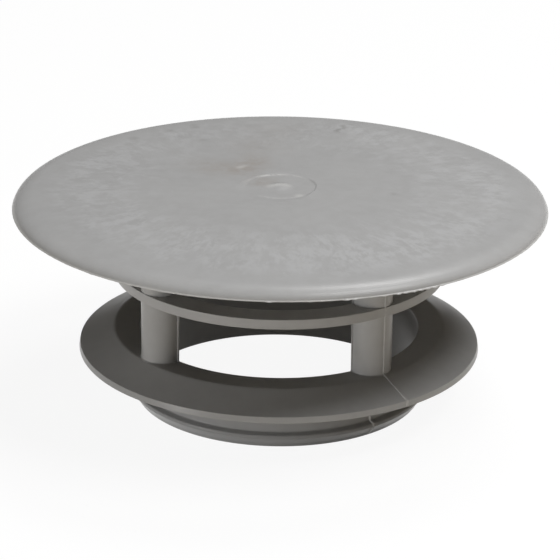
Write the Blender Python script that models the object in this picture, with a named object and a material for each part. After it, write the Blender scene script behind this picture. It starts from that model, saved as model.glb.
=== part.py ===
"""Push-in cap for the top of a round vent pipe, moulded in one piece of grey plastic.

From the bottom up it has a spigot with a snap bead, a flat collar with a sloping skirt, four posts
that pass through a flat ring, and a wide, slightly crowned rain disc with the mould's gate mark.

Metres, +Z up along the duct. The origin is the centre of the spigot's bottom rim, and the posts
stand on the diagonals between +X and +Y.
"""

import math

import bmesh
import bpy

SEGMENTS = 96

# Spigot that goes into the pipe, with a bead that snaps behind the pipe's groove
BORE_RADIUS = 0.0510
SPIGOT_WALL = 0.0020
SPIGOT_LENGTH = 0.0235
TIP_TAPER = 0.0006
BEAD_Z = 0.0046
BEAD_HEIGHT = 0.0022
BEAD_UPPER_FLANK = 0.0013
BEAD_LOWER_FLANK = 0.0030
BEAD_LOWER_FOOT = 0.0003
BEAD_CREST_WIDTH = 0.0012
BEAD_CREST_ROUNDING = 0.0003

# Collar that sits on the pipe's end, and the skirt that sheds rain past it
COLLAR_WIDTH = 0.0073
COLLAR_THICKNESS = 0.0023
SKIRT_WIDTH = 0.0130
SKIRT_DROP = 0.0054
SKIRT_EDGE_HEIGHT = 0.0024
SKIRT_EDGE_LEAN = 0.0004

# Two rows of windows with a ring between them, and the posts that carry the disc
LOWER_WINDOW = 0.0219
RING_THICKNESS = 0.0036
UPPER_WINDOW = 0.0210
POST_COUNT = 4
FIRST_POST_ANGLE = math.radians(45)
POST_RADIUS = 0.00735
POST_INSET = 0.0003
POST_OUTER_STEPS = 20
POST_INNER_STEPS = 6
POST_WAIST_LIMIT = 0.6
FLASH_WIDTH = 0.00035
FLASH_THICKNESS = 0.0006

# Rain disc
DISC_RADIUS = 0.0962
DISC_EDGE_HEIGHT = 0.0038
DISC_EDGE_DEPTH = 0.0066
DISC_CROWN = 0.0030
DISC_EDGE_STEPS = 6
DISC_CROWN_STEPS = 6

# Mark that the mould's gate leaves on top of the disc
GATE_PAD_RADIUS = 0.0128
GATE_PAD_DEPTH = 0.0003
GATE_PAD_SIDES = 48
GATE_NUB_RADIUS = 0.0030
GATE_NUB_HEIGHT = 0.0007
GATE_NUB_SIDES = 24

# How far a shape runs past the one that it joins or cuts
OVERLAP = 0.0010
SHARP_ANGLE = math.radians(30)
MERGE_DISTANCE = 0.000001

GREY_LINEAR = (0.366, 0.361, 0.352, 1.0)
ROUGHNESS = 0.5

NECK_RADIUS = BORE_RADIUS + SPIGOT_WALL
COLLAR_RADIUS = NECK_RADIUS + COLLAR_WIDTH
SKIRT_RADIUS = COLLAR_RADIUS + SKIRT_WIDTH
COLLAR_TOP = SPIGOT_LENGTH + COLLAR_THICKNESS
SKIRT_EDGE_TOP = COLLAR_TOP - SKIRT_DROP
RING_BOTTOM = COLLAR_TOP + LOWER_WINDOW
RING_TOP = RING_BOTTOM + RING_THICKNESS
DISC_BOTTOM = RING_TOP + UPPER_WINDOW
DISC_SHOULDER = DISC_BOTTOM + DISC_EDGE_HEIGHT
DISC_TOP = DISC_SHOULDER + DISC_CROWN
GATE_PAD_FLOOR = DISC_TOP - GATE_PAD_DEPTH


def add_object(name, bm):
    """Turn a bmesh into an object whose faces all point outwards."""
    bmesh.ops.recalc_face_normals(bm, faces=bm.faces)
    mesh = bpy.data.meshes.new(name)
    bm.to_mesh(mesh)
    bm.free()
    obj = bpy.data.objects.new(name, mesh)
    bpy.context.scene.collection.objects.link(obj)
    return obj


def turned(name, profile, closed):
    """Turn a profile of (radius, z) points round the Z axis; an open one ends on the axis."""
    bm = bmesh.new()
    verts = [bm.verts.new((radius, 0, z)) for radius, z in profile]
    following = verts[1:] + verts[:1] if closed else verts[1:]
    edges = [bm.edges.new(pair) for pair in zip(verts, following)]
    bmesh.ops.spin(bm, geom=verts + edges, cent=(0, 0, 0), axis=(0, 0, 1),
                   angle=2 * math.pi, steps=SEGMENTS, use_merge=True)
    bmesh.ops.remove_doubles(bm, verts=bm.verts, dist=MERGE_DISTANCE)
    return add_object(name, bm)


def prisms(name, outlines, bottom, top):
    """Stand each closed outline of (x, y) points up as a prism, all in one object."""
    bm = bmesh.new()
    for outline in outlines:
        floor = bm.faces.new([bm.verts.new((x, y, bottom)) for x, y in outline])
        raised = bmesh.ops.extrude_face_region(bm, geom=[floor])["geom"]
        moving = [item for item in raised if isinstance(item, bmesh.types.BMVert)]
        bmesh.ops.translate(bm, verts=moving, vec=(0, 0, top - bottom))
    return add_object(name, bm)


def circle(radius, sides):
    """The (x, y) corners of a regular polygon round the Z axis."""
    angles = [2 * math.pi * i / sides for i in range(sides)]
    return [(radius * math.cos(a), radius * math.sin(a)) for a in angles]


def base_profile():
    """Spigot, bead, collar and skirt."""
    return [
        (BORE_RADIUS, 0),
        (NECK_RADIUS - TIP_TAPER, 0),
        (NECK_RADIUS + BEAD_LOWER_FOOT, BEAD_Z - BEAD_LOWER_FLANK),
        *bead_crest(),
        (NECK_RADIUS, BEAD_Z + BEAD_UPPER_FLANK),
        (NECK_RADIUS, SPIGOT_LENGTH),
        (COLLAR_RADIUS, SPIGOT_LENGTH),
        (SKIRT_RADIUS, SKIRT_EDGE_TOP - SKIRT_EDGE_HEIGHT),
        (SKIRT_RADIUS - SKIRT_EDGE_LEAN, SKIRT_EDGE_TOP),
        (COLLAR_RADIUS, COLLAR_TOP),
        (BORE_RADIUS, COLLAR_TOP),
    ]


def bead_crest():
    """The bead's rounded crest: a low arc that reaches the bead's full height."""
    crest = NECK_RADIUS + BEAD_HEIGHT
    places = [-1, -0.5, 0, 0.5, 1]
    return [(crest - BEAD_CREST_ROUNDING * p * p, BEAD_Z + BEAD_CREST_WIDTH / 2 * p) for p in places]


def post_outline(angle):
    """A round post, hollowed by the bore's core, with a fin of flash along each inner corner.

    Inside its widest line the post narrows again, as far as the fins or the waist limit.
    """
    core = BORE_RADIUS + POST_INSET
    centre = COLLAR_RADIUS - POST_INSET - POST_RADIUS
    fin_tip = POST_RADIUS + FLASH_WIDTH
    fin_face = math.sqrt(core ** 2 - fin_tip ** 2) + FLASH_THICKNESS
    past_widest = math.asin(min(max((centre - fin_face) / POST_RADIUS, 0), POST_WAIST_LIMIT))
    outer_turn = math.pi + 2 * past_widest
    turns = [outer_turn * i / POST_OUTER_STEPS - past_widest for i in range(POST_OUTER_STEPS + 1)]
    round_side = [(POST_RADIUS * math.cos(t), centre + POST_RADIUS * math.sin(t)) for t in turns]
    round_side[0] = (round_side[0][0], fin_face)
    round_side[-1] = (round_side[-1][0], fin_face)
    inner_turn = math.asin(fin_tip / core)
    turns = [inner_turn * (2 * i / POST_INNER_STEPS - 1) for i in range(POST_INNER_STEPS + 1)]
    hollow = [(core * math.sin(t), core * math.cos(t)) for t in turns]
    outline = [(fin_tip, fin_face), *round_side, (-fin_tip, fin_face), *hollow]
    across, out = (-math.sin(angle), math.cos(angle)), (math.cos(angle), math.sin(angle))
    return [(s * across[0] + r * out[0], s * across[1] + r * out[1]) for s, r in outline]


def disc_profile():
    """Flat underside, rounded edge and low crown, from axis to axis."""
    crown_radius = DISC_RADIUS - DISC_EDGE_DEPTH
    turns = [math.pi / 2 * i / DISC_EDGE_STEPS for i in range(DISC_EDGE_STEPS + 1)]
    edge = [(crown_radius + DISC_EDGE_DEPTH * math.cos(t), DISC_BOTTOM + DISC_EDGE_HEIGHT * math.sin(t))
            for t in turns]
    shares = [1 - i / DISC_CROWN_STEPS for i in range(1, DISC_CROWN_STEPS + 1)]
    crown = [(crown_radius * s, DISC_SHOULDER + DISC_CROWN * (1 - s * s)) for s in shares]
    return [(0, DISC_BOTTOM), *edge, *crown]


def combine(body, operation, tool):
    """Join a tool to the body, or cut it from the body, with a Boolean modifier."""
    modifier = body.modifiers.new(tool.name, "BOOLEAN")
    modifier.operation = operation
    modifier.solver = "MANIFOLD"
    modifier.object = tool
    tool.hide_render = True
    tool.display_type = "WIRE"


def ring_profile():
    return [(BORE_RADIUS, RING_BOTTOM), (COLLAR_RADIUS, RING_BOTTOM),
            (COLLAR_RADIUS, RING_TOP), (BORE_RADIUS, RING_TOP)]


def posts():
    """Four posts, rooted in the collar and in the disc, that pass through the ring."""
    angles = [FIRST_POST_ANGLE + 2 * math.pi * i / POST_COUNT for i in range(POST_COUNT)]
    bottom = COLLAR_TOP - COLLAR_THICKNESS / 2
    top = DISC_BOTTOM + DISC_EDGE_HEIGHT / 2
    return prisms("posts", [post_outline(angle) for angle in angles], bottom, top)


def gate_pad_cutter():
    outline = circle(GATE_PAD_RADIUS, GATE_PAD_SIDES)
    return prisms("gate_pad_cutter", [outline], GATE_PAD_FLOOR, DISC_TOP + OVERLAP)


def gate_nub():
    outline = circle(GATE_NUB_RADIUS, GATE_NUB_SIDES)
    return prisms("gate_nub", [outline], GATE_PAD_FLOOR - OVERLAP, GATE_PAD_FLOOR + GATE_NUB_HEIGHT)


def build_cap():
    cap = turned("vent_cap", base_profile(), closed=True)
    combine(cap, "UNION", turned("ring", ring_profile(), closed=True))
    combine(cap, "UNION", posts())
    combine(cap, "UNION", turned("disc", disc_profile(), closed=False))
    combine(cap, "DIFFERENCE", gate_pad_cutter())
    combine(cap, "UNION", gate_nub())
    return cap


def merge_modifiers(body):
    """Keep the evaluated shape as the body's own mesh, and drop the tools that made it."""
    tools = [modifier.object for modifier in body.modifiers]
    evaluated = body.evaluated_get(bpy.context.evaluated_depsgraph_get())
    mesh = bpy.data.meshes.new_from_object(evaluated)
    body.modifiers.clear()
    body.data = mesh
    mesh.name = body.name
    for tool in tools:
        bpy.data.objects.remove(tool)


def shade(body):
    body.data.shade_smooth()
    body.data.set_sharp_from_angle(angle=SHARP_ANGLE)


def grey_plastic():
    material = bpy.data.materials.new("grey_plastic")
    material.use_nodes = True
    surface = material.node_tree.nodes["Principled BSDF"]
    surface.inputs["Base Color"].default_value = GREY_LINEAR
    surface.inputs["Roughness"].default_value = ROUGHNESS
    surface.inputs["Metallic"].default_value = 0.0
    return material


def main():
    for obj in list(bpy.data.objects):
        bpy.data.objects.remove(obj)
    cap = build_cap()
    merge_modifiers(cap)
    shade(cap)
    cap.data.materials.clear()
    cap.data.materials.append(grey_plastic())


main()
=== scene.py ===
"""Looks of the push-in vent pipe cap: one fine mesh in moulded grey plastic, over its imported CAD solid.

Metres, +Z up along the duct, as in the CAD part. The posts stand on the diagonals between +X and +Y,
and the mould parted on the vertical plane through the posts at (+X, -Y) and (-X, +Y).
"""

import math

import bmesh
import bpy
from mathutils import Matrix, Vector, noise

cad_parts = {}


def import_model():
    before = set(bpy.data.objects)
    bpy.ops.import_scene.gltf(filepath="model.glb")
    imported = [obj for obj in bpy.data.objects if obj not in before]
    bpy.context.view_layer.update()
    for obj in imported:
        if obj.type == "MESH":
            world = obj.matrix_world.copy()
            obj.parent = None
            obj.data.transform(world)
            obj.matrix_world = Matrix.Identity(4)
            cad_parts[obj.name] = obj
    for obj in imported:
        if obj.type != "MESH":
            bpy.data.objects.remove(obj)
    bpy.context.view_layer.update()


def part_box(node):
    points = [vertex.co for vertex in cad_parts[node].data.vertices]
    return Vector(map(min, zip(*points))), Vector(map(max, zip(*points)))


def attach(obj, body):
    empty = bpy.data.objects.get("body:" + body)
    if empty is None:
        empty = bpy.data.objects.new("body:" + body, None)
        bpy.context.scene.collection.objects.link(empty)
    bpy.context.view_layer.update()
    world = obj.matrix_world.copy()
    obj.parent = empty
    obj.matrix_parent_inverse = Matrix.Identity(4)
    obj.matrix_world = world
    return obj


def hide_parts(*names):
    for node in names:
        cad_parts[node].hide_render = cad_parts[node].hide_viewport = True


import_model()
cad_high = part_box("vent_cap")[1]

# Sizes shared with the solid, from the bottom up
BORE_RADIUS = 0.0510
SPIGOT_WALL = 0.0020
SPIGOT_LENGTH = 0.0235
TIP_TAPER = 0.0006
BEAD_Z = 0.0046
BEAD_HEIGHT = 0.0022
BEAD_UPPER_FLANK = 0.0013
BEAD_LOWER_FLANK = 0.0030
BEAD_LOWER_FOOT = 0.0003
BEAD_CREST_WIDTH = 0.0012
COLLAR_WIDTH = 0.0073
COLLAR_THICKNESS = 0.0023
SKIRT_WIDTH = 0.0130
SKIRT_DROP = 0.0054
SKIRT_EDGE_HEIGHT = 0.0024
SKIRT_EDGE_LEAN = 0.0004
LOWER_WINDOW = 0.0219
RING_THICKNESS = 0.0036
FIRST_POST_ANGLE = math.radians(45)
POST_RADIUS = 0.00735
POST_INSET = 0.0003
POST_WAIST_LIMIT = 0.6
FLASH_THICKNESS = 0.0006
DISC_EDGE_HEIGHT = 0.0038
DISC_CROWN = 0.0030
GATE_PAD_RADIUS = 0.0128
GATE_PAD_DEPTH = 0.0003
GATE_NUB_RADIUS = 0.0030
GATE_NUB_HEIGHT = 0.0007
GATE_STEP_WIDTH = 0.0008

NECK_RADIUS = BORE_RADIUS + SPIGOT_WALL
COLLAR_RADIUS = NECK_RADIUS + COLLAR_WIDTH
SKIRT_RADIUS = COLLAR_RADIUS + SKIRT_WIDTH
COLLAR_TOP = SPIGOT_LENGTH + COLLAR_THICKNESS
SKIRT_EDGE_TOP = COLLAR_TOP - SKIRT_DROP
RING_BOTTOM = COLLAR_TOP + LOWER_WINDOW
RING_TOP = RING_BOTTOM + RING_THICKNESS
DISC_RADIUS = cad_high.x
DISC_TOP = cad_high.z + GATE_PAD_DEPTH - GATE_NUB_HEIGHT
DISC_SHOULDER = DISC_TOP - DISC_CROWN
DISC_BOTTOM = DISC_SHOULDER - DISC_EDGE_HEIGHT

# The disc's edge and the gate's mark, drawn more finely than in the solid: the crown's foot and the edge's
# roll inside the rim, and how far the step round the gate spreads on its far side and fades on its near one
CROWN_FOOT_DEPTH = 0.0045
DISC_ROLL_DEPTH = 0.0068
GATE_STEP_SPREAD = 0.0012
GATE_STEP_NOISE = 1.7
GATE_STEP_FADE = 0.0050
GATE_FADE_TURN = math.radians(58)
GATE_STEP_SHARES = (0.8, 0.6, 0.4, 0.2, 0.0)
GATE_FLOOR_MARGIN = 0.0005
GATE_NUB_FLANK = 0.0022
GATE_NUB_SHARES = (0.25, 0.5, 0.75, 1.0)
GATE_NUB_DIMPLE = 0.0001

# Fineness of the mesh, and the roundings that the solid leaves out
SEGMENTS = 384
DISC_SEGMENTS = 768
CORNER_STEPS = 4
EDGE_ROUNDING = 0.00025
CREASE_ROUNDING = 0.0006
COLLAR_ROUNDING = 0.0040
POST_FILLET = 0.0005
POST_OUTER_STEPS = 48
POST_INNER_STEPS = 12
DISC_EDGE_STEPS = 14
DISC_CROWN_STEPS = 24
MERGE_DISTANCE = 0.000001
STRAIGHT_ANGLE = math.radians(5)

# Fins of flash on the posts' inner corners, which are alike in the solid and vary here: width at the top,
# clockwise and anticlockwise, post by post
POST_FINS = [(0.0006, 0.0004), (0.0005, 0.0007), (0.0003, 0.0008), (0.00015, 0.0004)]
FIN_FOOT_SHARE = 0.45
FIN_FULL_RISE = 0.5

# Ridges that the mould's parting plane leaves, each as (width at its base, width on top, height). Their
# roots lie inside the plastic. They start a short lead from an edge and sink a little at rounded edges.
PARTING_ANGLE = math.radians(-45)
SPIGOT_RIDGE = (0.0011, 0.0003, 0.00040)
UPPER_RIDGE = (0.0008, 0.0004, 0.00024)
RIDGE_ROOT = 0.0006
RIDGE_LEAD = 0.0004
RIDGE_POST_LEAD = 0.0010
RIDGE_END = 0.0005
RIDGE_SINK = 0.0001
RIDGE_UNEVEN = 0.4
RIDGE_NOISE = 400

# Ragged flash under the disc's edge: a thin lip that hangs a little, and how far its tears stand out
RIM_FLASH_WIDTH = 0.00022
RIM_FLASH_RAGGED = 0.00050
RIM_FLASH_HANG = 0.00010
RIM_FLASH_THICKNESS = 0.00030
RIM_FLASH_FOOT = 0.0010
RIM_FLASH_NOISE = 600
RIM_FLASH_UNEVEN = 0.4
RIM_TEAR_UNEVEN = 0.5
RIM_TIP_HANG = 0.6
RIM_TIP_REACH = 0.7

# Torn places of that flash: (degrees right of the camera's side, half width in degrees, strength)
RIM_TEARS = [
    (-2.0, 0.8, 0.8), (6.0, 0.9, 0.4), (8.5, 0.7, 0.5), (13.3, 0.9, 0.9), (15.0, 0.7, 0.7),
    (21.0, 0.8, 0.5), (24.2, 0.7, 1.0), (26.0, 1.0, 0.7), (27.6, 0.6, 1.0), (29.2, 0.9, 0.9),
    (30.8, 0.7, 1.1), (32.4, 1.0, 0.8), (34.5, 0.8, 0.6), (-24.0, 1.2, 0.3), (-41.0, 0.9, 0.4),
    (63.0, 1.0, 0.3), (97.0, 1.2, 0.7), (121.0, 0.9, 0.5), (124.0, 0.8, 0.8), (158.0, 1.1, 0.6),
    (171.0, 0.8, 0.9), (-97.0, 1.0, 0.4), (-128.0, 1.2, 0.7), (-131.0, 0.7, 1.0), (-149.0, 0.9, 0.5),
]

# Camera, solved from the photograph's edges; the view is turned a little from the part's -Y side
IMAGE_SIZE = 560
FOCAL_PIXELS = 2691.7
SENSOR_WIDTH = 36.0
CAMERA_AZIMUTH = math.radians(7)
CAMERA_DISTANCE = 0.9161
CAMERA_HEIGHT = 0.3982
CAMERA_PAN = math.radians(0.013)
CAMERA_TILT = math.radians(21.212)
CAMERA_ROLL = math.radians(0.599)

# The floor: its colour in the light that it throws back, and nearly white where it is looked at
FLOOR_SIZE = 6.0
FLOOR_COLOUR = (0.71, 0.65, 0.56, 1.0)
FLOOR_SEEN_COLOUR = (0.95, 0.95, 0.95, 1.0)
FLOOR_WHITENING = 0.92

# Lamps: name, degrees right of the camera, elevation, height aimed at, distance, width, height and watts
LAMPS = [
    ("softbox", 64, 64, 0.05, 1.6, 0.85, 0.85, 21.2),
    ("back_box", 148, 62, 0.07, 1.6, 0.7, 0.45, 12.0),
    ("low_strip", -54, 0, 0.03, 1.2, 0.30, 0.06, 4.6),
    ("left_fill", -16, 0, 0.05, 1.2, 0.24, 0.06, 0.4),
]
LAMP_COLOUR = (1.0, 0.995, 0.992)
WORLD_COLOUR = (1.0, 0.88, 0.66, 1.0)
WORLD_STRENGTH = 0.016

# The plastic's colours in linear light, and its finish
PLASTIC_DARKER = (0.346, 0.346, 0.345, 1.0)
PLASTIC_LIGHTER = (0.360, 0.360, 0.358, 1.0)
PLASTIC_FROSTED = (0.392, 0.394, 0.396, 1.0)
PLASTIC_STAINED = (0.285, 0.255, 0.228, 1.0)
# A lighter tone for whitened marks and painted highlights, and a darker one for scuffs and painted shade
PLASTIC_WHITENED_AND_HIGHLIT = (0.50, 0.50, 0.49, 1.0)
PLASTIC_SCUFFED_AND_SHADED = (0.262, 0.260, 0.254, 1.0)
SPECULAR_LEVEL = 0.20
ROUGHNESS = 0.31
MOTTLE_ROUGHNESS = 0.10
FROST_ROUGHNESS = 0.10
FROST_RELIEF = 0.6
GRAIN_STRENGTH = 0.25
GRAIN_DEPTH = 0.00004
BLOTCH_STRENGTH = 0.30
SPECKLE_STRENGTH = 0.12
TOP_FADE = 0.0008

# Noises in the plastic, as (scale per metre, detail, roughness), and the spans over which its marks show
MOTTLE_NOISE = (38.0, 5.0, 0.6)
MOTTLE_SPAN = (0.3, 0.7)
BLOTCH_NOISE = (190.0, 3.0, 0.55)
BLOTCH_SPAN = (0.35, 0.65)
SPECKLE_NOISE = (1500.0, 2.0, 0.6)
SPECKLE_SPAN = (0.66, 0.74)
GRAIN_NOISE = (1100.0, 4.0, 0.6)
STAIN_NOISE = (260.0, 4.0, 0.65)
STAIN_SPAN = (0.15, 0.70)
TORN_NOISE = (520.0, 3.0, 0.6)
GATE_BAND_SPAN = (0.32, 0.52)
SCUFF_SPAN = (0.30, 0.50)
PARTING_BREAKUP_NOISE = (420.0, 3.0, 0.5)
PARTING_BREAKUP_SPAN = (0.25, 0.6)

# A lighter line along the parting line, full on the spigot and faint above the skirt: partly trim whitening,
# partly a painted highlight where the ridge catches the light. The flash lip under the disc's rim is lighter
# too, partly whitened flash, partly a painted highlight where the lip catches the light from above, fading
# in between these heights above the disc's underside and these depths inside its rim.
PARTING_LINE_WIDTH = 0.0008
PARTING_LINE_INSET = 0.0006
PARTING_LINE_END = 0.0010
PARTING_LINE_LOW = 1.0
PARTING_LINE_HIGH = 0.35
RIM_LIP_HEIGHTS = (0.0006, 0.0003)
RIM_LIP_DEPTHS = (0.0004, 0.0001)
RIM_LIP_HIGHLIGHT = 0.7

# Frosty flow marks, in a ring round the gate: feathered tongues, bent, broken up and drifting in and out
BEND_NOISE = (60.0, 2.0, 0.5)
STREAK_NOISE = (1.0, 5.0, 0.7)
TONGUE_NOISE = (1.0, 3.0, 0.55)
PUFF_NOISE = (170.0, 4.0, 0.6)
CLOUD_NOISE = (110.0, 4.0, 0.6)
CLOUD_SPAN = (0.30, 0.62)
STREAK_WIDTH = 0.0013
STREAK_LENGTH = 0.0030
STREAK_SWAY = 2.6
TONGUE_WIDTH = 0.0042
TONGUE_LENGTH = 0.0100
FROST_FEATHER = 1.2
FROST_PUFF = 0.7
FROST_SPAN = (0.34, 0.70)
FROST_CENTRE = 0.12
FROST_INNER = 0.050
FROST_RADIUS = 0.070
FROST_DRIFT = 0.026
FROST_OUTER = 0.085
FROST_TIP_LENGTH = 0.014
FROST_BACKGROUND = 0.75

# Where the frost is thicker, as (right, away, radius, strength) seen by the camera
FROST_PATCHES = [
    (-0.054, -0.036, 0.020, 0.9),
    (-0.040, -0.050, 0.022, 0.3),
    (-0.030, -0.058, 0.022, 0.6),
    (-0.004, -0.066, 0.024, 0.6),
    (0.018, -0.064, 0.026, 0.7),
    (0.036, -0.060, 0.026, 0.8),
    (0.052, -0.048, 0.026, 0.6),
    (0.066, -0.036, 0.026, 0.6),
    (0.078, -0.004, 0.026, 0.6),
    (0.074, 0.018, 0.024, 0.5),
    (0.066, 0.034, 0.028, 0.5),
    (0.044, 0.062, 0.030, 0.5),
    (0.030, 0.078, 0.024, 0.6),
    (-0.066, -0.006, 0.026, 0.6),
    (-0.066, 0.018, 0.024, 0.4),
    (-0.066, 0.034, 0.024, 0.6),
    (-0.056, 0.054, 0.022, 0.5),
    (-0.040, 0.070, 0.018, 0.4),
]

# Brownish smudges beside the gate, in the same terms
STAIN_PATCHES = [
    (-0.0105, 0.0235, 0.0115, 0.55),
    (-0.0095, 0.0320, 0.0100, 0.35),
    (-0.0130, 0.0160, 0.0090, 0.40),
    (-0.0200, 0.0180, 0.0140, 0.30),
    (-0.0270, 0.0240, 0.0150, 0.25),
    (-0.0070, 0.0050, 0.0090, 0.50),
    (-0.0100, 0.0480, 0.0180, 0.20),
    (-0.0020, 0.0700, 0.0200, 0.15),
]

# Small marks, in the same terms: pale spots, of which the first three are a painted highlight on the gate's
# nub, the last a painted highlight on the gate's near rim and the two others pale blisters; and short dark
# scuffs
PALE_SPOTS_AND_GLINTS = [
    (-0.0030, 0.0002, 0.0034, 0.90),
    (-0.0004, 0.0004, 0.0030, 0.50),
    (0.0020, 0.0006, 0.0032, 0.55),
    (-0.0150, 0.0206, 0.0026, 0.55),
    (-0.0134, 0.0222, 0.0024, 0.40),
    (0.0069, -0.0098, 0.0028, 0.60),
]
DARK_SCUFFS = [
    (0.0405, -0.0062, 0.0028, 0.40),
    (-0.0069, 0.0451, 0.0030, 0.30),
    (-0.0294, 0.0559, 0.0032, 0.30),
    (0.0216, 0.0680, 0.0020, 0.70),
    (0.0213, 0.0702, 0.0020, 0.85),
    (0.0222, 0.0722, 0.0020, 0.85),
    (0.0238, 0.0738, 0.0020, 0.80),
    (0.0244, 0.0762, 0.0020, 0.70),
    (0.0236, 0.0784, 0.0020, 0.50),
    (0.0095, 0.0690, 0.0026, 0.25),
    (-0.0330, 0.0745, 0.0030, 0.45),
    (-0.0340, 0.0775, 0.0026, 0.45),
    (-0.0425, 0.0700, 0.0028, 0.40),
    (-0.0560, 0.0600, 0.0034, 0.35),
]

# Painted highlights on stretches of the gate's rim whose step catches the light, and painted shade on
# stretches whose step lies in shade, in the same terms
GATE_BAND_WIDTH = 0.0012
GATE_PAINTED_HIGHLIGHTS = [
    (-0.0060, 0.0115, 0.0050, 0.70),
    (-0.0015, 0.0130, 0.0060, 0.80),
    (0.0060, 0.0118, 0.0080, 0.35),
    (0.0040, -0.0120, 0.0060, 0.50),
    (-0.0040, -0.0120, 0.0070, 0.55),
    (-0.0120, 0.0030, 0.0060, 0.20),
]
GATE_PAINTED_SHADE = [
    (0.0116, 0.0050, 0.0060, 0.35),
    (-0.0090, 0.0095, 0.0040, 0.40),
]


def seen_from_camera(right, away, height=0.0):
    """A point given as the camera sees it, right and away from the axis, in the part's own frame."""
    return Matrix.Rotation(CAMERA_AZIMUTH, 3, "Z") @ Vector((right, away, height))


def placed(name, data):
    """A new object that shows a mesh, a lamp or a camera in the scene."""
    obj = bpy.data.objects.new(name, data)
    bpy.context.scene.collection.objects.link(obj)
    return obj


def from_bmesh(name, bm):
    bmesh.ops.recalc_face_normals(bm, faces=bm.faces)
    mesh = bpy.data.meshes.new(name)
    bm.to_mesh(mesh)
    bm.free()
    return placed(name, mesh)


def rounded(corners):
    """A closed profile of (radius, z, rounding) corners, with an arc at each one that has a rounding."""
    points = []
    for i, (x, z, rounding) in enumerate(corners):
        here = Vector((x, z))
        before = (Vector(corners[i - 1][:2]) - here).normalized()
        after = (Vector(corners[(i + 1) % len(corners)][:2]) - here).normalized()
        opening = before.angle(after)
        if rounding == 0 or math.pi - opening < STRAIGHT_ANGLE:
            points.append((x, z))
            continue
        centre = here + (before + after).normalized() * rounding / math.sin(opening / 2)
        start = here + before * rounding / math.tan(opening / 2) - centre
        finish = here + after * rounding / math.tan(opening / 2) - centre
        turn = start.angle_signed(finish)
        for step in range(CORNER_STEPS + 1):
            spoke = start.copy()
            spoke.rotate(Matrix.Rotation(-turn * step / CORNER_STEPS, 2))
            points.append(tuple(centre + spoke))
    return points


def turned(name, profile_at, segments, closed):
    """Turn a profile round the Z axis; profile_at(angle) gives its (radius, z) points at that angle."""
    bm = bmesh.new()
    columns = []
    for i in range(segments):
        angle = 2 * math.pi * i / segments
        columns.append([bm.verts.new((r * math.cos(angle), r * math.sin(angle), z))
                        for r, z in profile_at(angle)])
    length = len(columns[0])
    for i, column in enumerate(columns):
        following = columns[(i + 1) % segments]
        for j in range(length if closed else length - 1):
            k = (j + 1) % length
            bm.faces.new((column[j], following[j], following[k], column[k]))
    bmesh.ops.remove_doubles(bm, verts=bm.verts, dist=MERGE_DISTANCE)
    return from_bmesh(name, bm)


def lofted(name, outlines):
    """A closed solid through a stack of closed outlines of (x, y, z) points, all of one length."""
    bm = bmesh.new()
    rings = [[bm.verts.new(point) for point in outline] for outline in outlines]
    for lower, upper in zip(rings, rings[1:]):
        for j in range(len(lower)):
            k = (j + 1) % len(lower)
            bm.faces.new((lower[j], lower[k], upper[k], upper[j]))
    bm.faces.new(rings[0])
    bm.faces.new(rings[-1])
    return from_bmesh(name, bm)


def base():
    """Spigot with its bead, collar and skirt."""
    crest = NECK_RADIUS + BEAD_HEIGHT
    profile = rounded([
        (BORE_RADIUS, 0, EDGE_ROUNDING),
        (NECK_RADIUS - TIP_TAPER, 0, EDGE_ROUNDING),
        (NECK_RADIUS + BEAD_LOWER_FOOT, BEAD_Z - BEAD_LOWER_FLANK, EDGE_ROUNDING),
        (crest, BEAD_Z - BEAD_CREST_WIDTH / 2, CREASE_ROUNDING),
        (crest, BEAD_Z + BEAD_CREST_WIDTH / 2, CREASE_ROUNDING),
        (NECK_RADIUS, BEAD_Z + BEAD_UPPER_FLANK, CREASE_ROUNDING),
        (NECK_RADIUS, SPIGOT_LENGTH, CREASE_ROUNDING),
        (COLLAR_RADIUS, SPIGOT_LENGTH, CREASE_ROUNDING),
        (SKIRT_RADIUS, SKIRT_EDGE_TOP - SKIRT_EDGE_HEIGHT, EDGE_ROUNDING),
        (SKIRT_RADIUS - SKIRT_EDGE_LEAN, SKIRT_EDGE_TOP, EDGE_ROUNDING),
        (COLLAR_RADIUS, COLLAR_TOP, COLLAR_ROUNDING),
        (BORE_RADIUS, COLLAR_TOP, EDGE_ROUNDING),
    ])
    return turned("cap_base", lambda angle: profile, SEGMENTS, closed=True)


def ring():
    profile = rounded([
        (BORE_RADIUS, RING_BOTTOM, EDGE_ROUNDING),
        (COLLAR_RADIUS, RING_BOTTOM, EDGE_ROUNDING),
        (COLLAR_RADIUS, RING_TOP, EDGE_ROUNDING),
        (BORE_RADIUS, RING_TOP, EDGE_ROUNDING),
    ])
    return turned("cap_ring", lambda angle: profile, SEGMENTS, closed=True)


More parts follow.
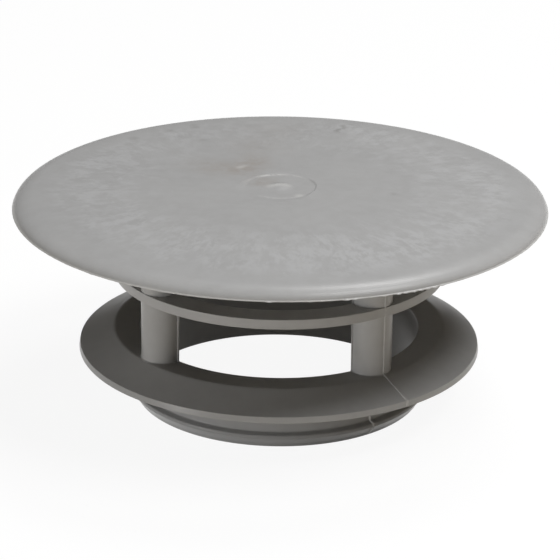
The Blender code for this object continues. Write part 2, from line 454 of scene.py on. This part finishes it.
def post_outline(angle, z, growth, fins):
    """A round post, hollowed by the bore's core, with a fin of flash along each inner corner."""
    radius = POST_RADIUS + growth
    core = BORE_RADIUS + POST_INSET
    centre = COLLAR_RADIUS - POST_INSET - POST_RADIUS
    rise = (z - COLLAR_TOP) / (DISC_BOTTOM - COLLAR_TOP)
    share = FIN_FOOT_SHARE + (1 - FIN_FOOT_SHARE) * min(max(rise / FIN_FULL_RISE, 0), 1)
    left_tip, right_tip = (radius + width * share for width in fins)
    fin_face = math.sqrt(core ** 2 - (POST_RADIUS + max(fins)) ** 2) + FLASH_THICKNESS + growth
    past_widest = math.asin(min(max((centre - fin_face) / radius, 0), POST_WAIST_LIMIT))
    outer_turn = math.pi + 2 * past_widest
    turns = [outer_turn * i / POST_OUTER_STEPS - past_widest for i in range(POST_OUTER_STEPS + 1)]
    round_side = [(radius * math.cos(t), centre + radius * math.sin(t)) for t in turns]
    first, last = -math.asin(left_tip / core), math.asin(right_tip / core)
    turns = [first + (last - first) * i / POST_INNER_STEPS for i in range(POST_INNER_STEPS + 1)]
    hollow = [(core * math.sin(t), core * math.cos(t)) for t in turns]
    outline = [(right_tip, round_side[0][1]), *round_side, (-left_tip, round_side[-1][1]), *hollow]
    across, out = (-math.sin(angle), math.cos(angle)), (math.cos(angle), math.sin(angle))
    return [(s * across[0] + r * out[0], s * across[1] + r * out[1], z) for s, r in outline]


def posts():
    """Four posts with a small fillet at each end, rooted in the collar and in the disc."""
    bottom, top = COLLAR_TOP, DISC_BOTTOM
    stations = [(bottom - COLLAR_THICKNESS / 2, POST_FILLET)]
    turns = [math.pi / 2 * i / CORNER_STEPS for i in range(CORNER_STEPS + 1)]
    flare = [(POST_FILLET * (1 - math.cos(t)), POST_FILLET * (1 - math.sin(t))) for t in turns]
    stations += [(bottom + rise, growth) for rise, growth in flare]
    stations.append(((bottom + top) / 2, 0))
    stations += [(top - rise, growth) for rise, growth in reversed(flare)]
    stations.append((top + DISC_EDGE_HEIGHT / 2, POST_FILLET))
    made = []
    for i, fins in enumerate(POST_FINS):
        angle = FIRST_POST_ANGLE + 2 * math.pi * i / len(POST_FINS)
        made.append(lofted("cap_post", [post_outline(angle, z, growth, fins) for z, growth in stations]))
    return made


def rim_flash(angle):
    """How far the flash under the disc's edge stands out at an angle: a thin lip, torn here and there."""
    along = DISC_RADIUS * Vector((math.cos(angle), math.sin(angle), 0))
    uneven = noise.noise(along * RIM_FLASH_NOISE)
    facing = math.degrees(angle) + 90 - math.degrees(CAMERA_AZIMUTH)
    torn = 0.0
    for place, half_width, strength in RIM_TEARS:
        apart = abs((facing - place + 180) % 360 - 180)
        torn = max(torn, strength * max(0.0, 1 - apart / half_width))
    lip = RIM_FLASH_WIDTH * (1 + RIM_FLASH_UNEVEN * uneven)
    return lip + RIM_FLASH_RAGGED * torn * (1 + RIM_TEAR_UNEVEN * uneven)


def disc_profile(angle):
    """Underside, ragged flash, rolled edge, low crown, and the gate's sunk pad with its nub."""
    out = rim_flash(angle)
    hang = RIM_FLASH_HANG * out / RIM_FLASH_WIDTH
    points = [
        (0, DISC_BOTTOM),
        (DISC_RADIUS - RIM_FLASH_FOOT, DISC_BOTTOM),
        (DISC_RADIUS - RIM_FLASH_THICKNESS, DISC_BOTTOM),
        (DISC_RADIUS - RIM_FLASH_THICKNESS / 2 + out / 2, DISC_BOTTOM - hang),
        (DISC_RADIUS + out, DISC_BOTTOM - hang * RIM_TIP_HANG),
        (DISC_RADIUS + out * RIM_TIP_REACH, DISC_BOTTOM + RIM_FLASH_THICKNESS / 2),
        (DISC_RADIUS, DISC_BOTTOM + RIM_FLASH_THICKNESS),
    ]
    shoulder = DISC_RADIUS - DISC_ROLL_DEPTH
    drop = crown_height(DISC_RADIUS) - DISC_BOTTOM
    for i in range(1, DISC_EDGE_STEPS + 1):
        turn = math.pi / 2 * (1 - i / DISC_EDGE_STEPS)
        radius = shoulder + DISC_ROLL_DEPTH * math.sin(turn)
        points.append((radius, crown_height(radius) - drop * (1 - math.cos(turn))))
    pad_edge, gate = gate_profile(angle)
    for i in range(1, DISC_CROWN_STEPS + 1):
        radius = shoulder + (pad_edge - shoulder) * i / DISC_CROWN_STEPS
        points.append((radius, crown_height(radius)))
    return points + gate


def crown_height(radius):
    """The height of the disc's low crown at a radius, without the gate's mark."""
    crown_radius = DISC_RADIUS - CROWN_FOOT_DEPTH
    return DISC_SHOULDER + DISC_CROWN * (1 - (radius / crown_radius) ** 2)


def eased(share):
    """A smooth rise from 0 to 1."""
    return 0.5 - 0.5 * math.cos(math.pi * share)


def gate_profile(angle):
    """From the pad's rim to the axis: an uneven step down, a flat floor, and the nub's low stub."""
    pad_floor = DISC_TOP - GATE_PAD_DEPTH
    facing = angle - CAMERA_AZIMUTH
    away = max(0.0, math.sin(facing))
    near = max(0.0, -math.cos(facing - GATE_FADE_TURN))
    uneven = noise.noise(Vector((math.cos(angle), math.sin(angle), 0)) * GATE_STEP_NOISE)
    foot = GATE_PAD_RADIUS - GATE_STEP_WIDTH / 2
    rim = GATE_PAD_RADIUS + GATE_STEP_WIDTH / 2 + GATE_STEP_SPREAD * away * (1 + uneven)
    rim += GATE_STEP_FADE * near
    step = crown_height(rim) - pad_floor
    nub_foot = GATE_NUB_RADIUS + GATE_NUB_FLANK
    points = [(foot + (rim - foot) * share, pad_floor + step * eased(share)) for share in GATE_STEP_SHARES]
    points += [(radius, pad_floor) for radius in (foot - GATE_FLOOR_MARGIN, foot / 2, nub_foot)]
    for share in GATE_NUB_SHARES:
        radius = GATE_NUB_RADIUS + GATE_NUB_FLANK * (1 - 2 * share)
        points.append((radius, pad_floor + GATE_NUB_HEIGHT * eased(share)))
    points.append((0, pad_floor + GATE_NUB_HEIGHT - GATE_NUB_DIMPLE))
    return rim, points


def disc():
    return turned("cap_disc", disc_profile, DISC_SEGMENTS, closed=False)


def parting_ridges():
    """A thin ridge up the spigot, over the skirt and up the post, on both sides of the cap."""
    crest = NECK_RADIUS + BEAD_HEIGHT
    spigot_path = [
        (NECK_RADIUS - TIP_TAPER, RIDGE_LEAD),
        (NECK_RADIUS + BEAD_LOWER_FOOT, BEAD_Z - BEAD_LOWER_FLANK),
        (crest - RIDGE_SINK, BEAD_Z - BEAD_CREST_WIDTH / 2),
        (crest, BEAD_Z),
        (crest - RIDGE_SINK, BEAD_Z + BEAD_CREST_WIDTH / 2),
        (NECK_RADIUS, BEAD_Z + BEAD_UPPER_FLANK),
        (NECK_RADIUS, SPIGOT_LENGTH + COLLAR_THICKNESS / 2),
    ]
    skirt_foot = SKIRT_EDGE_TOP - SKIRT_EDGE_HEIGHT + RIDGE_LEAD
    post_face = COLLAR_RADIUS - POST_INSET
    ring_face = COLLAR_RADIUS - RIDGE_SINK / 2
    upper_path = [
        (SKIRT_RADIUS - RIDGE_ROOT, skirt_foot),
        (SKIRT_RADIUS, skirt_foot),
        (SKIRT_RADIUS - SKIRT_EDGE_LEAN, SKIRT_EDGE_TOP),
        (COLLAR_RADIUS, COLLAR_TOP),
        (COLLAR_RADIUS - RIDGE_LEAD, COLLAR_TOP + RIDGE_LEAD),
        (post_face, COLLAR_TOP + RIDGE_POST_LEAD),
        (post_face, RING_BOTTOM),
        (ring_face, RING_BOTTOM + RIDGE_SINK),
        (ring_face, RING_TOP - RIDGE_SINK),
        (post_face, RING_TOP),
        (post_face, DISC_BOTTOM + RIDGE_END),
    ]
    ridges = []
    for angle in (PARTING_ANGLE, PARTING_ANGLE + math.pi):
        ridges.append(ridge(spigot_path, angle, *SPIGOT_RIDGE))
        ridges.append(ridge(upper_path, angle, *UPPER_RIDGE))
    return ridges


def ridge(path, angle, base_width, crest_width, height):
    """A ridge of tapering section along a path of (radius, z) points, with its crest on the path's right."""
    out = Vector((math.cos(angle), math.sin(angle), 0))
    across = Vector((-math.sin(angle), math.cos(angle), 0))
    outlines = []
    for i, (r, z) in enumerate(path):
        before = Vector(path[max(i - 1, 0)])
        after = Vector(path[min(i + 1, len(path) - 1)])
        run = (after - before).normalized()
        normal = Vector((run.y, -run.x))
        here = Vector((r, z))
        uneven = 1 + RIDGE_UNEVEN * noise.noise(Vector((r, z, angle)) * RIDGE_NOISE)
        levels = [(-RIDGE_ROOT, base_width), (0, base_width), (height * uneven, crest_width)]
        section = [(here + normal * offset, width / 2) for offset, width in levels]
        loop = [(p, -w) for p, w in section] + [(p, w) for p, w in reversed(section)]
        outlines.append([out * p.x + Vector((0, 0, p.y)) + across * w for p, w in loop])
    return lofted("cap_ridge", outlines)


def joined(body, tools):
    """One closed surface from overlapping solids; the tools are used up."""
    for tool in tools:
        modifier = body.modifiers.new(tool.name, "BOOLEAN")
        modifier.operation = "UNION"
        modifier.solver = "MANIFOLD"
        modifier.object = tool
    weighted = body.modifiers.new("weighted_normals", "WEIGHTED_NORMAL")
    weighted.keep_sharp = True
    body.data.shade_smooth()
    evaluated = body.evaluated_get(bpy.context.evaluated_depsgraph_get())
    mesh = bpy.data.meshes.new_from_object(evaluated)
    body.modifiers.clear()
    body.data = mesh
    for tool in tools:
        bpy.data.objects.remove(tool)
    return body


def cap():
    body = joined(base(), [ring(), *posts(), disc(), *parting_ridges()])
    body.name = "moulded_cap"
    body.data.name = "moulded_cap"
    return body


class Graph:
    """The nodes of a material, in short calls that take numbers, colours or nodes' outputs."""

    mix_sockets = (0, 6, 7)
    mixed_socket = 2

    def __init__(self, name):
        self.material = bpy.data.materials.new(name)
        self.material.use_nodes = True
        self.tree = self.material.node_tree

    def add(self, kind, **settings):
        node = self.tree.nodes.new("ShaderNode" + kind)
        for key, value in settings.items():
            setattr(node, key, value)
        return node

    def feed(self, socket, value):
        if isinstance(value, bpy.types.NodeSocket):
            self.tree.links.new(value, socket)
        else:
            socket.default_value = value

    def maths(self, operation, *values, clamp=False):
        node = self.add("Math", operation=operation, use_clamp=clamp)
        for socket, value in zip(node.inputs, values):
            self.feed(socket, value)
        return node.outputs[0]

    def product(self, first, *others):
        for other in others:
            first = self.maths("MULTIPLY", first, other)
        return first

    def vector(self, operation, *values):
        """Vector maths; SCALE takes a vector and a number."""
        node = self.add("VectorMath", operation=operation)
        sockets = [node.inputs[0], node.inputs["Scale"] if operation == "SCALE" else node.inputs[1]]
        for socket, value in zip(sockets, values):
            self.feed(socket, value)
        return node.outputs["Value" if operation in ("LENGTH", "DISTANCE") else "Vector"]

    def step(self, value, low, high):
        """A smooth step from 0 at low to 1 at high; low may be the greater."""
        node = self.add("MapRange", interpolation_type="SMOOTHSTEP")
        self.feed(node.inputs["Value"], value)
        self.feed(node.inputs["From Min"], min(low, high))
        self.feed(node.inputs["From Max"], max(low, high))
        self.feed(node.inputs["To Min"], 0.0 if low < high else 1.0)
        self.feed(node.inputs["To Max"], 1.0 if low < high else 0.0)
        return node.outputs["Result"]

    def noise(self, place, scale, detail, roughness):
        node = self.add("TexNoise")
        self.feed(node.inputs["Vector"], place)
        self.feed(node.inputs["Scale"], scale)
        self.feed(node.inputs["Detail"], detail)
        self.feed(node.inputs["Roughness"], roughness)
        return node.outputs["Fac"]

    def spots(self, place, settings, span):
        """A noise of (scale, detail, roughness), from 0 to 1 over a span of it."""
        return self.step(self.noise(place, *settings), *span)

    def swayed(self, value, texture, strength):
        """A value moved either way by a noise, whose middle is a half."""
        return self.maths("MULTIPLY_ADD", self.maths("SUBTRACT", texture, 0.5), strength, value)

    def tint(self, share, base, colour):
        """A share of a colour over a base; a Mix node's colours have no names of their own."""
        node = self.add("Mix", data_type="RGBA")
        for index, value in zip(self.mix_sockets, (share, base, colour)):
            self.feed(node.inputs[index], value)
        return node.outputs[self.mixed_socket]


def patches(graph, flat, places):
    """How far a point lies within soft round patches of (right, away, radius, strength) on the disc."""
    total = 0.0
    for right, away, radius, strength in places:
        apart = graph.vector("DISTANCE", flat, tuple(seen_from_camera(right, away)))
        total = graph.maths("ADD", graph.product(graph.step(apart, radius, 0), strength), total)
    return total


def fanned(graph, radius, spoke, width, length, bend):
    """Coordinates that fan out from the gate, so that noise in them makes streaks of this size."""
    along = graph.add("CombineXYZ")
    graph.feed(along.inputs["Z"], graph.product(radius, 1 / length))
    spread = graph.vector("SCALE", spoke, FROST_RADIUS / width)
    return graph.vector("ADD", graph.vector("ADD", spread, along.outputs["Vector"]), bend)


def frosty_flow(graph, flat, radius, spoke):
    """Pale tongues with feathered edges, left by the melt as it ran out from the gate: a share, 0 to 1."""
    bend = graph.product(graph.noise(flat, *BEND_NOISE), STREAK_SWAY)
    streaks = graph.noise(fanned(graph, radius, spoke, STREAK_WIDTH, STREAK_LENGTH, bend), *STREAK_NOISE)
    tongues = graph.noise(fanned(graph, radius, spoke, TONGUE_WIDTH, TONGUE_LENGTH, bend), *TONGUE_NOISE)
    puffs = graph.noise(flat, *PUFF_NOISE)
    clouds = graph.noise(flat, *CLOUD_NOISE)
    feather = graph.swayed(graph.swayed(tongues, streaks, FROST_FEATHER), puffs, FROST_PUFF)
    cover = graph.step(feather, *FROST_SPAN)
    drifted = graph.maths("ADD", radius, graph.product(clouds, FROST_DRIFT))
    tipped = graph.maths("ADD", radius, graph.product(tongues, FROST_TIP_LENGTH))
    grown = graph.step(drifted, FROST_INNER, FROST_RADIUS)
    inner = graph.maths("MULTIPLY_ADD", grown, 1 - FROST_CENTRE, FROST_CENTRE)
    outer = graph.step(tipped, FROST_OUTER + FROST_TIP_LENGTH, FROST_OUTER)
    haze = graph.product(graph.step(clouds, *CLOUD_SPAN), FROST_BACKGROUND)
    thick = graph.maths("ADD", patches(graph, flat, FROST_PATCHES), haze)
    return graph.maths("MULTIPLY", graph.product(inner, outer, thick), cover, clamp=True)


def painted_gate_light_and_marks(graph, flat, radius, place, on_top):
    """Shares of the dark and the pale marks on the disc's top: painted shade and painted highlights along
    the gate's rim, scuffs and pale spots off it, and painted highlights on the gate's nub.
    """
    torn = graph.noise(place, *TORN_NOISE)
    off_rim = graph.maths("ABSOLUTE", graph.maths("SUBTRACT", radius, GATE_PAD_RADIUS))
    gate_band = graph.product(graph.step(off_rim, GATE_BAND_WIDTH, 0), graph.step(torn, *GATE_BAND_SPAN), on_top)
    dark = graph.product(patches(graph, flat, DARK_SCUFFS), graph.step(torn, *SCUFF_SPAN), on_top)
    pale = graph.product(patches(graph, flat, PALE_SPOTS_AND_GLINTS), on_top)
    return (graph.maths("MULTIPLY_ADD", patches(graph, flat, GATE_PAINTED_SHADE), gate_band, dark),
            graph.maths("MULTIPLY_ADD", patches(graph, flat, GATE_PAINTED_HIGHLIGHTS), gate_band, pale))


def lip_flash_and_highlight(graph, split, radius):
    """The flash lip all round under the disc's rim, lighter: partly whitened flash, partly a painted
    highlight where the lip catches the light from above.
    """
    low = graph.step(split.outputs["Z"], *(DISC_BOTTOM + height for height in RIM_LIP_HEIGHTS))
    outside = graph.step(radius, *(DISC_RADIUS - depth for depth in RIM_LIP_DEPTHS))
    return graph.product(low, outside, RIM_LIP_HIGHLIGHT)


def moulded_plastic():
    """Grey plastic with a fine grain all over, its moulding's marks, smudges and scuffs on the disc, and
    painted light: shade and highlights at the gate's rim, highlights on its nub, the parting line and the
    disc's lip.
    """
    graph = Graph("moulded_grey_plastic")
    surface = graph.tree.nodes["Principled BSDF"]
    place = graph.add("TexCoord").outputs["Object"]
    split = graph.add("SeparateXYZ")
    graph.feed(split.inputs[0], place)
    join = graph.add("CombineXYZ")
    graph.feed(join.inputs["X"], split.outputs["X"])
    graph.feed(join.inputs["Y"], split.outputs["Y"])
    flat = join.outputs["Vector"]
    radius = graph.vector("LENGTH", flat)
    spoke = graph.vector("NORMALIZE", flat)
    on_top = graph.step(split.outputs["Z"], DISC_SHOULDER - TOP_FADE, DISC_SHOULDER)

    mottle = graph.noise(place, *MOTTLE_NOISE)
    frost = graph.product(frosty_flow(graph, flat, radius, spoke), on_top)
    soiled = graph.spots(place, STAIN_NOISE, STAIN_SPAN)
    scuffs_and_painted_shade, pale_marks_and_highlights = painted_gate_light_and_marks(graph, flat, radius, place, on_top)
    layers = [
        (graph.product(graph.spots(place, BLOTCH_NOISE, BLOTCH_SPAN), BLOTCH_STRENGTH), PLASTIC_FROSTED),
        (frost, PLASTIC_FROSTED),
        (graph.product(patches(graph, flat, STAIN_PATCHES), soiled, on_top), PLASTIC_STAINED),
        (graph.product(graph.spots(place, SPECKLE_NOISE, SPECKLE_SPAN), SPECKLE_STRENGTH), PLASTIC_STAINED),
        # Partly painted light: shade and highlights at the gate's rim, highlights on the nub, the parting
        # line and the lip
        (scuffs_and_painted_shade, PLASTIC_SCUFFED_AND_SHADED),
        (pale_marks_and_highlights, PLASTIC_WHITENED_AND_HIGHLIT),
        (parting_line_and_highlight(graph, split, radius, place), PLASTIC_WHITENED_AND_HIGHLIT),
        (lip_flash_and_highlight(graph, split, radius), PLASTIC_WHITENED_AND_HIGHLIT),
    ]
    colour = graph.tint(graph.step(mottle, *MOTTLE_SPAN), PLASTIC_DARKER, PLASTIC_LIGHTER)
    for share, tone in layers:
        colour = graph.tint(share, colour, tone)
    graph.feed(surface.inputs["Base Color"], colour)
    surface.inputs["Specular IOR Level"].default_value = SPECULAR_LEVEL

    finish = graph.maths("MULTIPLY_ADD", mottle, MOTTLE_ROUGHNESS, ROUGHNESS - MOTTLE_ROUGHNESS / 2)
    graph.feed(surface.inputs["Roughness"], graph.maths("MULTIPLY_ADD", frost, FROST_ROUGHNESS, finish))
    grain = graph.noise(place, *GRAIN_NOISE)
    bump = graph.add("Bump")
    graph.feed(bump.inputs["Height"], graph.maths("MULTIPLY_ADD", frost, FROST_RELIEF, grain))
    graph.feed(bump.inputs["Strength"], GRAIN_STRENGTH)
    graph.feed(bump.inputs["Distance"], GRAIN_DEPTH)
    graph.feed(surface.inputs["Normal"], bump.outputs["Normal"])
    return graph.material


def parting_line_and_highlight(graph, split, radius, place):
    """A lighter, broken-up line on the thin ridge at the mould's parting plane, below the disc only: partly
    trim whitening, partly a painted highlight where the ridge catches the light.
    """
    height = split.outputs["Z"]
    across = graph.product(split.outputs["X"], -math.sin(PARTING_ANGLE))
    across = graph.maths("MULTIPLY_ADD", split.outputs["Y"], math.cos(PARTING_ANGLE), across)
    near = graph.step(graph.maths("ABSOLUTE", across), PARTING_LINE_WIDTH, PARTING_LINE_WIDTH / 2)
    spigot_face = NECK_RADIUS - TIP_TAPER
    outside = graph.step(radius, spigot_face - PARTING_LINE_INSET, spigot_face)
    below = graph.step(height, DISC_BOTTOM, DISC_BOTTOM - PARTING_LINE_END)
    patchy = graph.spots(place, PARTING_BREAKUP_NOISE, PARTING_BREAKUP_SPAN)
    low = graph.step(height, COLLAR_TOP, SKIRT_EDGE_TOP - SKIRT_EDGE_HEIGHT)
    strength = graph.maths("MULTIPLY_ADD", low, PARTING_LINE_LOW - PARTING_LINE_HIGH, PARTING_LINE_HIGH)
    return graph.product(near, outside, below, patchy, strength)


def backdrop_rays(graph):
    """1 for rays that see the backdrop, straight or in a gloss, and 0 for those that gather its light."""
    path = graph.add("LightPath")
    seen = graph.maths("MAXIMUM", path.outputs["Is Camera Ray"], path.outputs["Is Glossy Ray"])
    return graph.maths("MAXIMUM", seen, path.outputs["Is Transmission Ray"])


def pale_floor():
    """White where it is looked at, less the object's shadow, and greyer for the light it throws back."""
    graph = Graph("pale_floor")
    graph.tree.nodes.remove(graph.tree.nodes["Principled BSDF"])
    seen = backdrop_rays(graph)
    ground = graph.add("BsdfDiffuse")
    graph.feed(ground.inputs["Color"], graph.tint(seen, FLOOR_COLOUR, FLOOR_SEEN_COLOUR))
    white = graph.add("Emission")
    blend = graph.add("MixShader")
    graph.feed(blend.inputs[0], graph.maths("MULTIPLY", seen, FLOOR_WHITENING))
    graph.feed(blend.inputs[1], ground.outputs[0])
    graph.feed(blend.inputs[2], white.outputs[0])
    graph.feed(graph.tree.nodes["Material Output"].inputs["Surface"], blend.outputs[0])
    return graph.material


def floor():
    mesh = bpy.data.meshes.new("floor")
    half = FLOOR_SIZE / 2
    mesh.from_pydata([(-half, -half, 0), (half, -half, 0), (half, half, 0), (-half, half, 0)], [],
                     [(0, 1, 2, 3)])
    mesh.materials.append(pale_floor())
    placed("floor", mesh)


def lamps():
    """Soft studio lamps, each placed as the camera sees it and turned to the cap."""
    for name, azimuth, elevation, aim, distance, width, height, power in LAMPS:
        turn, rise = math.radians(azimuth), math.radians(elevation)
        away = distance * math.cos(rise)
        place = seen_from_camera(away * math.sin(turn), -away * math.cos(turn), distance * math.sin(rise))
        data = bpy.data.lights.new(name, "AREA")
        data.shape = "ELLIPSE"
        data.size = width
        data.size_y = height
        data.energy = power
        data.color = LAMP_COLOUR
        lamp = placed(name, data)
        lamp.location = Vector((0, 0, aim)) + place
        lamp.rotation_euler = (-place).to_track_quat("-Z", "Y").to_euler()


def camera():
    ahead = Vector((math.sin(CAMERA_PAN) * math.cos(CAMERA_TILT),
                    math.cos(CAMERA_PAN) * math.cos(CAMERA_TILT), -math.sin(CAMERA_TILT)))
    level = ahead.cross(Vector((0, 0, 1))).normalized()
    above = level.cross(ahead)
    right = math.cos(CAMERA_ROLL) * level + math.sin(CAMERA_ROLL) * above
    up = math.cos(CAMERA_ROLL) * above - math.sin(CAMERA_ROLL) * level
    turn = Matrix.Rotation(CAMERA_AZIMUTH, 4, "Z")
    facing = Matrix((right, up, -ahead)).transposed().to_4x4()
    place = Matrix.Translation((0, -CAMERA_DISTANCE, CAMERA_HEIGHT))
    data = bpy.data.cameras.new("camera")
    data.sensor_width = SENSOR_WIDTH
    data.lens = FOCAL_PIXELS / IMAGE_SIZE * SENSOR_WIDTH
    viewer = placed("camera", data)
    viewer.matrix_world = turn @ place @ facing
    bpy.context.scene.camera = viewer


def world():
    """A faint even light from all round."""
    studio = bpy.data.worlds.new("studio")
    studio.use_nodes = True
    background = studio.node_tree.nodes["Background"]
    background.inputs["Color"].default_value = WORLD_COLOUR
    background.inputs["Strength"].default_value = WORLD_STRENGTH
    bpy.context.scene.world = studio


body = cap()
body.data.materials.clear()
body.data.materials.append(moulded_plastic())
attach(body, "root")
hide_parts("vent_cap")
floor()
lamps()
camera()
world()
bpy.context.scene.view_settings.view_transform = "Standard"
